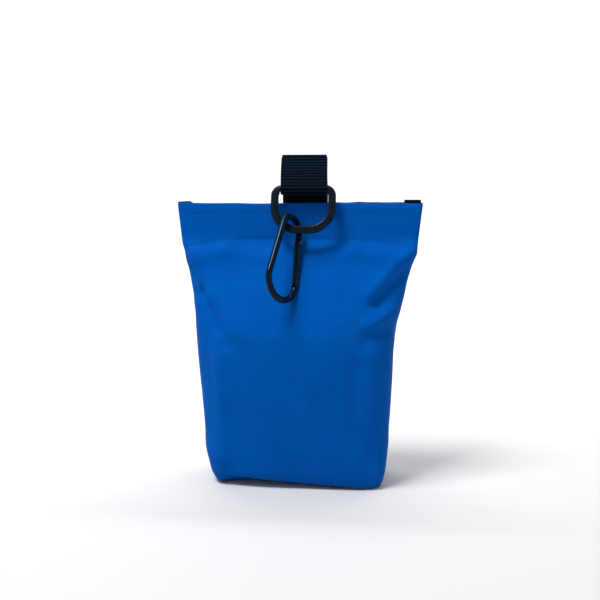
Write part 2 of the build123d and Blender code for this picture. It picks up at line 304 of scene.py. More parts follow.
BLUE = coated_twill("blue coated twill", (0.0008, 0.118, 0.510), (0.0001, 0.038, 0.215))
BLACK_CLOTH = coated_twill(
    "black facing", (0.018, 0.020, 0.026), (0.006, 0.007, 0.010), 0.5,
)
BINDING = woven_tape(
    "black binding", (0.012, 0.016, 0.030), (0.002, 0.003, 0.007), 0.9, 0.7,
)
WEBBING = woven_tape(
    "black webbing", (0.0060, 0.0135, 0.0270), (0.0001, 0.0004, 0.0018), RIB_PITCH, 1.1,
)
BLUE_THREAD = twisted_thread(
    "blue thread", (0.0010, 0.105, 0.455), (0.0002, 0.060, 0.290),
)
BLACK_THREAD = twisted_thread("black thread", (0.009, 0.014, 0.024), (0.001, 0.002, 0.004))
HOOKS = hook_nap("hook tape", (0.030, 0.032, 0.040), (0.004, 0.004, 0.006), 1500.0)
LOOPS = hook_nap("loop tape", (0.050, 0.052, 0.060), (0.008, 0.008, 0.010), 2200.0)
# the second colour is the lighter tone of the painted edge highlight and of the random clouds
RING_PLASTIC = moulded_plastic(
    "ring nylon", (0.0025, 0.0045, 0.009), (0.012, 0.016, 0.026),
)
ANODISED = anodised("black anodised", (0.0003, 0.0012, 0.004), (0.03, 0.042, 0.062))
STEEL = bright_steel("bright steel")
PAPER = pale_paper("pale table")


# ---- mesh helpers ------------------------------------------------------------------------
def finished(name, mesh, material, body=None, replaces=()):
    """Close a bmesh into a named piece on its body."""
    data = bpy.data.meshes.new(name)
    mesh.to_mesh(data)
    mesh.free()
    data.shade_smooth()
    piece = bpy.data.objects.new(name, data)
    scene.collection.objects.link(piece)
    data.materials.append(material)
    if body:
        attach(piece, body)
    if replaces:
        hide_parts(*replaces)
    return piece


def upright(mesh):
    """The long edges of a unit cube that has been drawn out along Z."""
    return [edge for edge in mesh.edges if abs(edge.verts[0].co.z - edge.verts[1].co.z) > 0.5]


def eased(mesh, edges, offset, segments=2):
    """Round some edges."""
    bmesh.ops.bevel(
        mesh, geom=edges, offset=offset, segments=segments, affect="EDGES", profile=0.5,
        material=-1,
    )


def slit(mesh, axis, place, near=1e-7):
    """Cut a mesh through without parting it, so that it can be bent there."""
    normal, spot = Vector(), Vector()
    normal[axis], spot[axis] = 1.0, place
    geometry = mesh.verts[:] + mesh.edges[:] + mesh.faces[:]
    bmesh.ops.bisect_plane(mesh, geom=geometry, dist=near, plane_co=spot, plane_no=normal)


def drawn_out(mesh, edges):
    """Extrude a ring of edges: its new points and new edges."""
    grown = bmesh.ops.extrude_edge_only(mesh, edges=edges)["geom"]
    points = [item for item in grown if isinstance(item, bmesh.types.BMVert)]
    ring = [
        item for item in grown
        if isinstance(item, bmesh.types.BMEdge) and item.verts[0] in points
        and item.verts[1] in points
    ]
    return points, ring


def smoothed(heights, column, reach):
    """A column of the form's table, in half millimetre steps, with its corners eased."""
    values = np.interp(STEPS, heights, column)
    offsets = np.arange(-3 * reach, 3 * reach + 1)
    kernel = np.exp(-0.5 * (offsets / reach) ** 2)
    padded = np.pad(values, 3 * reach, mode="reflect", reflect_type="odd")
    return np.convolve(padded, kernel / kernel.sum(), "valid")


# ---- the bag's form ----------------------------------------------------------------------
MOUTH = 154.0           # heights above the table, in mm
HEM = 133.0
TOP_ROW = MOUTH - 5.5   # the hem's upper row of stitches
HEM_DIP = 4.0           # how far the lower row drops at the sides
CLOTH = 0.7             # thicknesses
FACING = 0.5
FACING_Y = 2.1          # where a hem's inner layer hangs
HEM_TURN = 20.0         # how far the cloth is turned down inside
STEPS = np.arange(0.0, MOUTH + 0.01, 0.5)
SECTION_POINTS = 721    # points of a level before it is parted evenly

# height, reach to the left, to the right, half depth, squareness at front left, front right, back
FORM = np.array([
    (0.0, 44.3, 46.2, 23.2, 4.6, 6.0, 3.6),
    (5.0, 48.4, 47.8, 25.0, 4.2, 5.6, 3.4),
    (18.0, 51.8, 49.6, 26.3, 3.6, 4.8, 3.2),
    (46.0, 54.5, 51.4, 27.6, 3.0, 4.2, 3.0),
    (74.0, 56.6, 52.6, 28.5, 2.7, 3.4, 2.8),
    (84.0, 57.2, 53.8, 27.9, 2.6, 3.1, 2.7),
    (94.0, 57.8, 55.2, 25.0, 2.5, 2.9, 2.7),
    (106.0, 59.3, 58.6, 19.8, 2.5, 2.7, 2.7),
    (117.0, 61.4, 61.6, 14.2, 2.7, 2.8, 2.8),
    (125.0, 63.2, 62.8, 9.6, 3.2, 3.2, 3.2),
    (129.5, 64.4, 64.2, 6.4, 4.5, 4.5, 4.5),
    (HEM, 65.0, 65.0, 4.0, 8.0, 8.0, 8.0),
    (MOUTH, 67.4, 67.4, 3.15, 9.0, 9.0, 9.0),
])
REACH = (3, 3, 4, 8, 8, 8)      # how widely each column's corners are eased
LEFT, RIGHT, DEPTH, SQUARE_LEFT, SQUARE_RIGHT, SQUARE_BACK = (
    smoothed(FORM[:, 0], FORM[:, i + 1], REACH[i]) for i in range(6)
)


def at(column, z):
    return float(np.interp(z, STEPS, column))


def section(z, side, columns):
    """One level of a wall, seam to seam, in equal steps: side is -1 for the front."""
    turn = np.linspace(0.0, math.pi, SECTION_POINTS)
    across = -np.cos(turn)
    if side < 0:
        left, right = at(SQUARE_LEFT, z), at(SQUARE_RIGHT, z)
    else:
        left = right = at(SQUARE_BACK, z)
    square = np.where(across < 0, left, right)
    reach = np.where(across < 0, at(LEFT, z), at(RIGHT, z))
    x = reach * np.sign(across) * np.abs(across) ** (2 / square)
    y = side * at(DEPTH, z) * np.abs(np.sin(turn)) ** (2 / square)
    run = np.concatenate([[0.0], np.cumsum(np.hypot(np.diff(x), np.diff(y)))])
    even = np.linspace(0.0, run[-1], columns + 1)
    return np.interp(even, run, x), np.interp(even, run, y), even - run[-1] / 2


# Folds in the cloth, drawn on the wall: start x and z, end x and z, width, height, in mm.
# A positive height is a ridge and a negative one a valley.
FRONT_FOLDS = [
    (-63.0, 128.0, -53.0, 105.0, 2.6, -1.3),
    (-53.0, 105.0, -38.0, 80.0, 4.2, -1.9),
    (-58.0, 128.0, -46.0, 104.0, 5.0, 1.0),
    (-46.0, 104.0, -33.0, 86.0, 6.0, 1.4),
    (-56.0, 108.0, -55.0, 99.0, 2.6, 0.9),
    (-41.0, 80.0, -40.0, 16.0, 4.5, 1.5),
    (-48.0, 84.0, -48.0, 30.0, 6.0, -0.8),
    (60.0, 128.0, 40.0, 106.0, 4.5, 2.6),
    (57.0, 115.0, 44.0, 101.0, 5.5, -3.1),
    (50.0, 97.0, 40.0, 91.0, 4.0, 2.1),
    (50.0, 86.0, 39.0, 83.0, 4.5, -1.9),
    (33.0, 66.0, 31.0, 36.0, 4.5, -0.9),
    (40.0, 72.0, 39.0, 30.0, 5.0, 0.9),
    (36.0, 30.0, 42.0, 18.0, 6.0, -1.3),
    (46.0, 24.0, 44.0, 4.0, 3.5, 0.9),
    (-60.0, 124.0, -40.0, 129.0, 5.0, 1.2),
    (-40.0, 129.0, -14.0, 125.0, 5.0, 1.2),
    (8.0, 126.0, 30.0, 129.5, 5.0, 1.3),
    (30.0, 129.5, 58.0, 126.0, 5.0, 1.3),
    (-50.0, 117.0, -14.0, 118.0, 7.0, -0.25),
    (14.0, 119.0, 46.0, 117.0, 7.0, -0.5),
    (-26.0, 84.0, 28.0, 88.0, 11.0, 0.5),
    (-20.0, 60.0, 18.0, 66.0, 14.0, 0.6),
    (-36.0, 40.0, -30.0, 8.0, 8.0, -0.8),
]
BACK_FOLDS = [
    (-60.0, 127.0, -44.0, 101.0, 3.6, 1.4),
    (60.0, 127.0, 45.0, 103.0, 3.6, 1.3),
    (-54.0, 116.0, -44.0, 102.0, 6.0, -1.9),
    (54.0, 115.0, 46.0, 98.0, 6.0, -1.7),
    (-56.0, 126.0, -16.0, 128.0, 5.0, 1.2),
    (18.0, 128.0, 56.0, 126.0, 5.0, 1.2),
    (-42.0, 84.0, -42.0, 20.0, 4.5, 1.1),
    (43.0, 80.0, 43.0, 20.0, 4.5, 1.0),
    (-24.0, 82.0, 30.0, 86.0, 7.0, 0.8),
    (-20.0, 60.0, -12.0, 22.0, 9.0, -0.9),
    (22.0, 70.0, 30.0, 30.0, 9.0, -0.8),
]


def fold_heights(x, z, folds):
    """How far a wall's folds push its cloth out at a grid of points."""
    total = np.zeros_like(x)
    for x0, z0, x1, z1, width, height in folds:
        run = np.array([x1 - x0, z1 - z0])
        length = np.hypot(*run)
        share = ((x - x0) * run[0] + (z - z0) * run[1]) / length**2
        near = np.clip(share, 0.0, 1.0)
        gap = np.hypot(x - x0 - near * run[0], z - z0 - near * run[1])
        total += height * np.exp(-((gap / width) ** 2))
    return total


# Waves of slack cloth: a wave's width, its height, the shift of its seed, and its depth.
SLACK_WAVES = ((26.0, 30.0, 0.0, 0.55), (9.0, 13.0, 7.0, 0.16))


def slack(x, z, seed):
    """Gentle random slackness of the cloth."""
    made = [
        sum(
            noise.noise(Vector((a / width, b / height, seed + shift))) * depth
            for width, height, shift, depth in SLACK_WAVES
        )
        for a, b in np.stack([x.ravel(), z.ravel()], 1)
    ]
    return np.array(made).reshape(x.shape)


def hem_line(x):
    """Height of the hem's lower seam, which dips towards the sides."""
    return HEM + 1.1 - HEM_DIP * (x / 60.0) ** 4


ARCH_PLACES = (-43.0, -37.5, -33.0, 26.0, 40.0)     # places along the front's lower edge
ARCH_LIFTS = (0.2, 5.4, 5.6, 1.4, 0.0)              # how far each stands off the table
ARCH_TOP = 16.0         # height where the lift has faded out


def corner_lift(x, z, side):
    """The front's lower left edge stands off the table in a low arch; its corner is an ear."""
    if side > 0:
        return np.zeros_like(x)
    return np.interp(x, ARCH_PLACES, ARCH_LIFTS) * np.clip(1 - z / ARCH_TOP, 0.0, 1.0)


LEVELS = np.concatenate([
    np.linspace(0.9, 12.0, 9), np.linspace(13.5, 117.0, 70), np.linspace(118.0, 153.3, 36),
])
COLUMNS = 132
COLUMN_STEP = 1.1       # mm from one column to the next
SEAM_GROOVE = 0.55      # how deep the hem's lower seam lies in the cloth
ROW_GROOVE = 0.18       # how deep its upper row of stitches lies
GROOVE_REACH = 63.0     # where both run out, beside the side seams
SEAM_TUCK = 0.7         # how far the side seams draw the cloth in
EDGE_WAVE = 0.35        # how far the mouth's edge waves
CORNER_PEAK = 1.9       # how far the back's left corner stands up


def wall_grid(side):
    """Points of a wall's middle surface, with the flat coordinates they were cut from."""
    rows = [section(z, side, COLUMNS) for z in LEVELS]
    x = np.array([row[0] for row in rows])
    y = np.array([row[1] for row in rows])
    flat_x = np.array([row[2] for row in rows])
    z = np.repeat(LEVELS[:, None], COLUMNS + 1, 1)
    folds = FRONT_FOLDS if side < 0 else BACK_FOLDS
    body = np.clip((hem_line(x) - 1.9 - z) / 6.0, 0.0, 1.0)
    body *= np.clip((z + 4.0) / 14.0, 0.0, 1.0)
    out = fold_heights(x, z, folds) * np.clip((z + 2) / 10, 0, 1)
    out += slack(x, z, 3.0 + side) * body
    groove = np.exp(-((z - hem_line(x)) / 1.1) ** 2) * SEAM_GROOVE
    groove += np.exp(-((z - TOP_ROW) / 0.8) ** 2) * ROW_GROOVE
    groove *= np.clip((GROOVE_REACH - np.abs(x)) / 2.0, 0.0, 1.0)
    count = np.arange(COLUMNS + 1)
    edge = np.minimum(count, count[::-1])[None, :] * COLUMN_STEP
    tuck = np.exp(-((edge / 1.5) ** 2)) * SEAM_TUCK * np.clip((HEM - z) / 10, 0, 1)
    slope_x = np.gradient(x, axis=1)
    slope_y = np.gradient(y, axis=1)
    length = np.hypot(slope_x, slope_y) + 1e-9
    normal_x, normal_y = -side * slope_y / length, side * slope_x / length
    push = out * np.clip(edge / 5.0, 0, 1) - groove - tuck - CLOTH / 2
    x = x + normal_x * push
    y = y + normal_y * push
    z = z + corner_lift(x, z, side)
    ripple = np.array([
        noise.noise(Vector((a / 17.0, side * 3.0, 0.5))) for a in x[-1]
    ])[None, :] * np.clip((z - 146.0) / 8.0, 0, 1) * EDGE_WAVE
    if side > 0:
        corner = np.interp(x[-1], (-60.5, -58.8), (CORNER_PEAK, 0.0))
        ripple = ripple + corner * np.clip((z - 150.0) / 4.0, 0, 1)
    return x, y, z + ripple, flat_x


def turned_hem(x, y, z, flat_x, side):
    """A wall's rows, and those that carry its cloth over the mouth and down inside."""
    rows = []
    outer_y = np.abs(y[-1])
    inner = FACING_Y * np.clip(outer_y / 2.75, 0.0, 1.0)
    radius = np.maximum((outer_y - inner) / 2, 0.3)
    middle = outer_y - radius
    inner = middle - radius
    top = z[-1]
    for turn in (45, 90, 135, 180):
        angle = math.radians(turn)
        out, rise = radius * math.cos(angle), radius * math.sin(angle)
        rows.append((x[-1], side * (middle + out), top + rise))
    for down in np.linspace(1.2, HEM_TURN, 12):
        level = int(np.argmin(np.abs(LEVELS - (MOUTH - down))))
        rows.append((x[level] * 0.998, side * inner, top - down))
    made = [np.array([row[i] for row in rows]) for i in range(3)]
    return (
        np.vstack([x, made[0]]), np.vstack([y, made[1]]), np.vstack([z, made[2]]),
        np.vstack([flat_x, np.repeat(flat_x[-1:], len(rows), 0)]),
    )


def cloth_mesh(x, y, z, flat_x):
    """A grid of cloth laid on the given points."""
    rows, columns = x.shape
    steps = np.sqrt(sum(np.diff(part, axis=0) ** 2 for part in (x, y, z)))
    climb = np.concatenate([[0.0], np.cumsum(np.median(steps, axis=1))])
    mesh = bmesh.new()
    bmesh.ops.create_grid(mesh, x_segments=columns - 1, y_segments=rows - 1, size=0.5)
    flat = mesh.loops.layers.uv.new("UVMap")
    for vert in mesh.verts:
        column = round((vert.co.x + 0.5) * (columns - 1))
        row = round((vert.co.y + 0.5) * (rows - 1))
        vert.co = (x[row, column] * MM, y[row, column] * MM, z[row, column] * MM)
        for loop in vert.link_loops:
            loop[flat].uv = (flat_x[row, column], climb[row])
    return mesh


def thicken(mesh, thickness=CLOTH):
    """Give a cloth its thickness, half to each side."""
    bmesh.ops.recalc_face_normals(mesh, faces=mesh.faces)
    mesh.normal_update()
    away = mesh.verts.layers.float_vector.new("away")
    for vert in mesh.verts:
        vert[away] = vert.normal
        vert.co += vert.normal * thickness / 2 * MM
    grown = bmesh.ops.extrude_face_region(mesh, geom=mesh.faces[:], use_keep_orig=True)["geom"]
    for vert in grown:
        if isinstance(vert, bmesh.types.BMVert):
            vert.co -= vert[away] * thickness * MM
    mesh.verts.layers.float_vector.remove(away)
    bmesh.ops.recalc_face_normals(mesh, faces=mesh.faces)
    return mesh


def keep_side(mesh, side):
    """Cut a mesh on the middle plane and keep its left, -1, or right part."""
    geometry = mesh.verts[:] + mesh.edges[:] + mesh.faces[:]
    bmesh.ops.bisect_plane(
        mesh, geom=geometry, dist=1e-7, plane_co=(0, 0, 0), plane_no=(1, 0, 0),
        clear_outer=side < 0, clear_inner=side > 0,
    )
    bmesh.ops.holes_fill(mesh, edges=[edge for edge in mesh.edges if edge.is_boundary])


def rest_normals(mesh):
    """Remember the whole piece's shading, so that its halves meet without a line."""
    mesh.normal_update()
    layer = mesh.verts.layers.float_vector.new("rest_normal")
    for vert in mesh.verts:
        vert[layer] = vert.normal


def front_halves(name, build, material, replaces=()):
    """A front piece as two halves, cut at the middle."""
    for side, word in ((-1, "left"), (1, "right")):
        mesh = build()
        rest_normals(mesh)
        keep_side(mesh, side)
        piece = finished(f"{name}_{word}", mesh, material, replaces=replaces)
        normals = [tuple(item.vector) for item in piece.data.attributes["rest_normal"].data]
        piece.data.attributes.remove(piece.data.attributes["rest_normal"])
        piece.data.normals_split_custom_set_from_vertices(normals)
        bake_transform(piece)


# ---- bag pieces --------------------------------------------------------------------------
FRONT_GRID = turned_hem(*wall_grid(-1), -1)
BACK_GRID = wall_grid(1)

front_halves(
    "front_wall", lambda: thicken(cloth_mesh(*FRONT_GRID)), BLUE,
    ("front_panel", "front_facing"),
)

back_wall = finished(
    "back_wall", thicken(cloth_mesh(*BACK_GRID)), BLUE, "pouch", ("back_panel",),
)


STRIP_PLACES = (-66.0, -20.0, 20.0, 60.0)       # places along the mouth
STRIP_RISES = (-0.5, -0.4, 0.45, 0.6)           # how far the strip shows above the blue there
STRIP_WAVE = 0.35
STRIP_SINK = 0.25       # how far it is pressed into the turned hem


def back_facing_mesh():
    """Black strip sewn along the back's mouth edge, waving a hair above and below it."""
    x, y, z, flat_x = turned_hem(*BACK_GRID, 1)
    start = len(LEVELS)
    lift = np.array([noise.noise(Vector((a / 7.0, 4.0, 2.0))) for a in x[-1]]) * STRIP_WAVE
    rise = np.interp(x[-1], STRIP_PLACES, STRIP_RISES)
    fade = np.linspace(1.0, 0.0, x.shape[0] - start)[:, None]
    z[start:] += (lift + rise)[None, :] * np.clip(fade * 1.6, 0, 1)
    y[start:] -= STRIP_SINK
    return thicken(cloth_mesh(x[start:], y[start:], z[start:], flat_x[start:]), FACING)


back_facing = finished(
    "back_facing_strip", back_facing_mesh(), BLACK_CLOTH, "pouch",
    ("back_facing",),
)


def ring_round(mesh, row, stretch=(1.0, 1.0), drop=0.0):
    """A closed ring of edges round one row of both walls, drawn in and lowered."""
    front = np.array(FRONT_GRID[:3])[:, row, :-1]
    back = np.array(BACK_GRID[:3])[:, row, ::-1][:, :-1]
    points = [
        mesh.verts.new(Vector((x * stretch[0], y * stretch[1], z - drop)) * MM)
        for x, y, z in np.hstack([front, back]).T
    ]
    return [mesh.edges.new((points[i - 1], points[i])) for i in range(len(points))]


BASE_LIE = 0.5 * MM     # height of the base's middle where it lies on the table
BASE_FLAT = 0.4         # share of its reach that lies there
BASE_RINGS = (0.985, 0.95, 0.85, 0.7, 0.5, 0.25, 0.02)


def base_mesh():
    """The base: the walls' lower edge closed by rings of cloth that settle to the middle."""
    mesh = bmesh.new()
    flat = mesh.loops.layers.uv.new("UVMap")
    edges = ring_round(mesh, 0)
    before = 1.0
    for share in BASE_RINGS:
        points, edges = drawn_out(mesh, edges)
        for vert in points:
            vert.co.x *= share / before
            vert.co.y *= share / before
            fall = max(share - BASE_FLAT, 0.0) / max(before - BASE_FLAT, 1e-6)
            vert.co.z = BASE_LIE + (vert.co.z - BASE_LIE) * fall
        before = share
    bmesh.ops.pointmerge(mesh, verts=points, merge_co=(0, 0, BASE_LIE))
    for face in mesh.faces:
        for corner in face.loops:
            corner[flat].uv = (corner.vert.co.x / MM, corner.vert.co.y / MM)
    return mesh


base = finished(
    "base_cloth", thicken(base_mesh()), BLUE, "pouch", ("bottom_panel",),
)


# ---- seam bindings -----------------------------------------------------------------------
BINDING_WIDTH = 9.0
BINDING_THICK = 0.8
BINDING_FOOT = 7.0      # heights of its lower end and of the point where it leaves the walls
BINDING_NECK = 152.0
BINDING_INSET = 1.1     # how far its outer edge stays inside the bag's reach
BINDING_EASE = 0.22     # how round its edges are
BASE_TAPE_INSET = (0.965, 0.94)     # share of the walls' reach across and in depth
BASE_TAPE_DROP = 1.6
BASE_TAPE_RISES = (0.4, 1.4, 1.4, 1.4, 0.3)


def binding_mesh(side):
    """Folded tape over the raw side seam, standing above the mouth."""
    levels = np.linspace(BINDING_FOOT, BINDING_NECK, 74)
    levels = np.concatenate([levels, [154.0, 155.2, 155.9]])
    if side < 0:
        levels = np.minimum(levels, BINDING_NECK + (levels - BINDING_NECK) * 0.55)
    mesh = bmesh.new()
    bmesh.ops.create_cube(mesh, size=1.0)
    eased(mesh, upright(mesh), BINDING_EASE)
    bmesh.ops.subdivide_edges(
        mesh, edges=upright(mesh), cuts=len(levels) - 2, use_grid_fill=True,
    )
    flat = mesh.loops.layers.uv.new("UVMap")
    for vert in mesh.verts:
        level = levels[round((vert.co.z + 0.5) * (len(levels) - 1))]
        wander = noise.noise(Vector((level / 14.0, side * 5.0, 1.0)))
        outer = at(LEFT if side < 0 else RIGHT, level) - BINDING_INSET
        across = (vert.co.x - 0.5) * BINDING_WIDTH
        for corner in vert.link_loops:
            corner[flat].uv = (across * side, level + vert.co.y)
        y = BINDING_THICK / 2 + vert.co.y * BINDING_THICK + wander * 0.12
        vert.co = Vector((side * (outer + across + wander * 0.25), y, level)) * MM
    bmesh.ops.recalc_face_normals(mesh, faces=mesh.faces)
    return mesh


for hand, word in ((-1, "left"), (1, "right")):
    piece = finished(
        f"{word}_binding", binding_mesh(hand), BINDING, "pouch",
        (f"{word}_seam_binding",),
    )


def base_binding_mesh():
    """Tape standing over the seam round the base, inside the bag."""
    mesh = bmesh.new()
    flat = mesh.loops.layers.uv.new("UVMap")
    edges = ring_round(mesh, 2, BASE_TAPE_INSET, BASE_TAPE_DROP)
    for rise in BASE_TAPE_RISES:
        points, edges = drawn_out(mesh, edges)
        for vert in points:
            vert.co.z += rise * MM
    for face in mesh.faces:
        for corner in face.loops:
            spot = corner.vert.co
            corner[flat].uv = (spot.z / MM, math.atan2(spot.y, spot.x) * 40.0)
    return thicken(mesh, BINDING_THICK)


base_tape = finished(
    "base_binding_tape", base_binding_mesh(), BINDING, "pouch",
    ("base_seam_binding",),
)


# ---- closing tapes -----------------------------------------------------------------------
TAPE_EASE = 0.35 * MM   # how round a tape's edges are
TAPE_CUTS = ((0, 56), (2, 8))       # how many parts each axis is cut into


def tape_mesh(node):
    """Closing tape with softly rounded edges, cut fine enough to bend with the front."""
    low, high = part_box(node)
    mesh = bmesh.new()
    bmesh.ops.create_cube(mesh, size=1.0)
    flat = mesh.loops.layers.uv.new("UVMap")
    size = high - low
    bmesh.ops.scale(mesh, vec=size, verts=mesh.verts)
    eased(mesh, mesh.edges[:], TAPE_EASE)
    for axis, count in TAPE_CUTS:
        for step in range(1, count):
            slit(mesh, axis, size[axis] * (step / count - 0.5))
    bmesh.ops.translate(mesh, vec=(low + high) / 2, verts=mesh.verts)
    for face in mesh.faces:
        for corner in face.loops:
            corner[flat].uv = (corner.vert.co.x / MM, corner.vert.co.z / MM)
    return mesh


front_halves(
    "hook_strip", lambda: tape_mesh("hook_tape"), HOOKS, ("hook_tape",),
)
finished("loop_strip", tape_mesh("loop_tape"), LOOPS, "pouch", ("loop_tape",))


# ---- hem stitching -----------------------------------------------------------------------
STITCH = 2.9            # mm from one stitch to the next
ROW_REACH = 61.0        # mm from the middle to a hem row's ends
STITCH_BOW = 0.10       # how far a stitch stands up at its middle
HEM_THREAD = 0.17       # half a thread's thickness
TACK_THREAD = 0.2
BOX_THREAD = 0.22


def look_along(run, out):
    """A turn that takes X along run and Z outwards."""
    along = run.normalized()
    away = (out - along * out.dot(along)).normalized()
    beside = away.cross(along)
    return Matrix((along, beside, away)).transposed().to_4x4()


def stitch_mesh(points, radius):
    """Short rounded stitches, each lying from one point to the next and dipping at its ends."""
    mesh = bmesh.new()
    flat = mesh.loops.layers.uv.new("UVMap")
    for start, end, out in points:
        run = end - start
        made = bmesh.ops.create_uvsphere(
            mesh, u_segments=8, v_segments=6, radius=1.0,
            matrix=Matrix.Rotation(math.pi / 2, 4, "Y"),
        )["verts"]
        for vert in made:
            across = vert.co.x
            bow = (1 - across * across) * STITCH_BOW
            vert.co = Vector((
                across * run.length / 2, vert.co.y * radius, vert.co.z * radius + bow,
            ))
        for vert in made:
            for corner in vert.link_loops:
                corner[flat].uv = (vert.co.x, vert.co.y * 3)
        place = Matrix.Translation((start + end) / 2) @ look_along(run, out)
        bmesh.ops.transform(mesh, matrix=place, verts=made)
    bmesh.ops.scale(mesh, vec=(MM, MM, MM), verts=mesh.verts)
    return mesh


def surface_at(grid, x, z, side):
    """The outside of a wall at a place near its hem."""
    level = np.interp(z, LEVELS, np.arange(len(LEVELS)))
    row = min(int(level), len(LEVELS) - 2)
    below, above = (np.interp(x, grid[0][i], grid[1][i]) for i in (row, row + 1))
    y = below + (above - below) * (level - row)
    return Vector((x, y + side * (CLOTH / 2), z))


def hem_rows(grid, side):
    """Two rows of stitches along a wall's hem, the lower one on its seam."""
    rows = []
    count = int(ROW_REACH // STITCH)
    for lower in (False, True):
        for index in range(-count, count):
            start_x = (index + 0.11) * STITCH
            end_x = (index + 0.89) * STITCH
            start_z, end_z = (hem_line(x) if lower else TOP_ROW for x in (start_x, end_x))
            lean = noise.noise(Vector((start_x, 150.0 - 15.0 * lower, side * 2.0))) * 0.12
            start = surface_at(grid, start_x, start_z + lean, side)
            end = surface_at(grid, end_x, end_z - lean * 0.5, side)
            rows.append((start, end, Vector((0, side, 0))))
    return rows


front_halves(
    "front_hem_stitches", lambda: stitch_mesh(hem_rows(FRONT_GRID, -1), HEM_THREAD),
    BLUE_THREAD, ("front_hem_stitching",),
)
finished(
    "back_hem_stitches", stitch_mesh(hem_rows(BACK_GRID, 1), HEM_THREAD), BLUE_THREAD,
    "pouch", ("back_hem_stitching",),
)


# ---- strap -------------------------------------------------------------------------------
STRAP_X = 3.0           # the strap is sewn a little off the middle
STRAP_Y = 4.65          # its middle where it lies on the back
STRAP_LOW = 134.8
STRAP_BEND = 153.0
STRAP_WIDTH = 25.0
STRAP_THICK = 1.3
STRAP_CELLS = 26        # across its width
STRAP_STEP = 0.33       # mm between its cuts
RIB_HEIGHT = 0.09
WEAVE_HEIGHT = 0.015    # how far its lengthwise cords stand up
STRAP_WANDER = 0.25     # how far it strays to the sides
FOLD_PINCH = 0.05       # share of its width lost at the very top of the fold
FOLD = (0.0, 178.85)    # y, z of the fold's centre
FOLD_RADIUS = 1.5
FOLD_START = (-FOLD_RADIUS, FOLD[1] - 0.3)
FOLD_SINK = 0.6         # how far the used webbing has settled at its fold
BAR = (-6.0, 161.7)     # y, z of the ring's bar
LOOP_RADIUS = 2.65
RETURN_END = (-2.6, 171.5)


def arc(centre, radius, start, end, count):
    """Points of an arc, in degrees from +Y towards +Z."""
    turns = np.radians(np.linspace(start, end, count))
    return [(centre[0] + radius * math.cos(t), centre[1] + radius * math.sin(t)) for t in turns]


def touch_angle(start, centre, radius, turn):
    """Where, in degrees, a line from start touches a circle."""
    dy, dz = start[0] - centre[0], start[1] - centre[1]
    return math.degrees(math.atan2(dz, dy) + turn * math.acos(radius / math.hypot(dy, dz)))


def strap_line():
    """The webbing's middle line: up from the back hem, over the fold, round the bar and back."""
    first = touch_angle(FOLD_START, BAR, LOOP_RADIUS, 1)
    last = touch_angle(RETURN_END, BAR, LOOP_RADIUS, -1)
    corners = [(STRAP_Y, STRAP_LOW), (STRAP_Y, 144.0), (STRAP_Y, 151.0)]
    corners += [(4.45, 153.6), (4.1, 157.0), (2.7, 167.0)]
    corners += arc(FOLD, FOLD_RADIUS, 0, 180, 13)
    corners += arc(BAR, LOOP_RADIUS, first, last + 360 if last < first else last, 15)
    corners.append(RETURN_END)
    line = np.array(corners)
    run = np.concatenate([[0.0], np.cumsum(np.hypot(*np.diff(line, axis=0).T))])
    even = np.linspace(0.0, run[-1], int(run[-1] / STRAP_STEP))
    return np.interp(even, run, line[:, 0]), np.interp(even, run, line[:, 1]), even


def strap_mesh():
    """Ribbed webbing bent along its line."""
    y, z, run = strap_line()
    for _ in range(3):
        y[1:-1] = (y[:-2] + 2 * y[1:-1] + y[2:]) / 4
        z[1:-1] = (z[:-2] + 2 * z[1:-1] + z[2:]) / 4
    z -= FOLD_SINK * np.clip((z - 168.0) / 10.0, 0.0, 1.0)
    slope_y, slope_z = np.gradient(y), np.gradient(z)
    length = np.hypot(slope_y, slope_z)
    away_y, away_z = slope_z / length, -slope_y / length
    mesh = bmesh.new()
    bmesh.ops.create_cube(mesh, size=1.0)
    bmesh.ops.scale(mesh, vec=(STRAP_WIDTH, STRAP_THICK, 1.0), verts=mesh.verts)
    eased(mesh, upright(mesh), 0.5, 3)
    for step in range(1, STRAP_CELLS):
        slit(mesh, 0, STRAP_WIDTH * (step / STRAP_CELLS - 0.5), 1e-5)
    bmesh.ops.subdivide_edges(mesh, edges=upright(mesh), cuts=len(run) - 2, use_grid_fill=True)
    flat = mesh.loops.layers.uv.new("UVMap")
    half = STRAP_THICK / 2
    for vert in mesh.verts:
        step = round((vert.co.z + 0.5) * (len(run) - 1))
        across, out = vert.co.x, vert.co.y
        for corner in vert.link_loops:
            corner[flat].uv = (across, run[step])
        rib = math.sin(run[step] * 2 * math.pi / RIB_PITCH) * RIB_HEIGHT
        weave = math.cos(across * math.pi) * WEAVE_HEIGHT
        grow = 1 + (rib + weave) / half - 0.04
        wander = noise.noise(Vector((run[step] / 15.0, 2.0, 0.0))) * STRAP_WANDER
        pinch = 1 + noise.noise(Vector((run[step] / 3.0, across / 40.0, 9.0))) * 0.006
        pinch -= FOLD_PINCH * min(max((z[step] - 177.6) / 2.4, 0.0), 1.0) ** 2
        shift = out * grow
        vert.co = Vector((
            STRAP_X + across * pinch + wander,
            y[step] + away_y[step] * shift,
            z[step] + away_z[step] * shift,
        )) * MM
    bmesh.ops.recalc_face_normals(mesh, faces=mesh.faces)
    return mesh


strap = finished(
    "webbing_strap", strap_mesh(), WEBBING, None, ("strap", "strap_fold", "strap_tab"),
)
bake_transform(strap)


TACK_STEP = 1.25        # mm from one stitch of a bar tack to the next
TACK_ROWS = (9.0, 10.6, 12.2)       # mm from the fold to each bar tack
BOX_STEP = 2.1          # mm from one stitch of the sewn box to the next
BOX_HALF = (9.5, 7.0)   # half the box's width and height
THREAD_LIFT = 0.02      # how far a thread's middle lies above the webbing


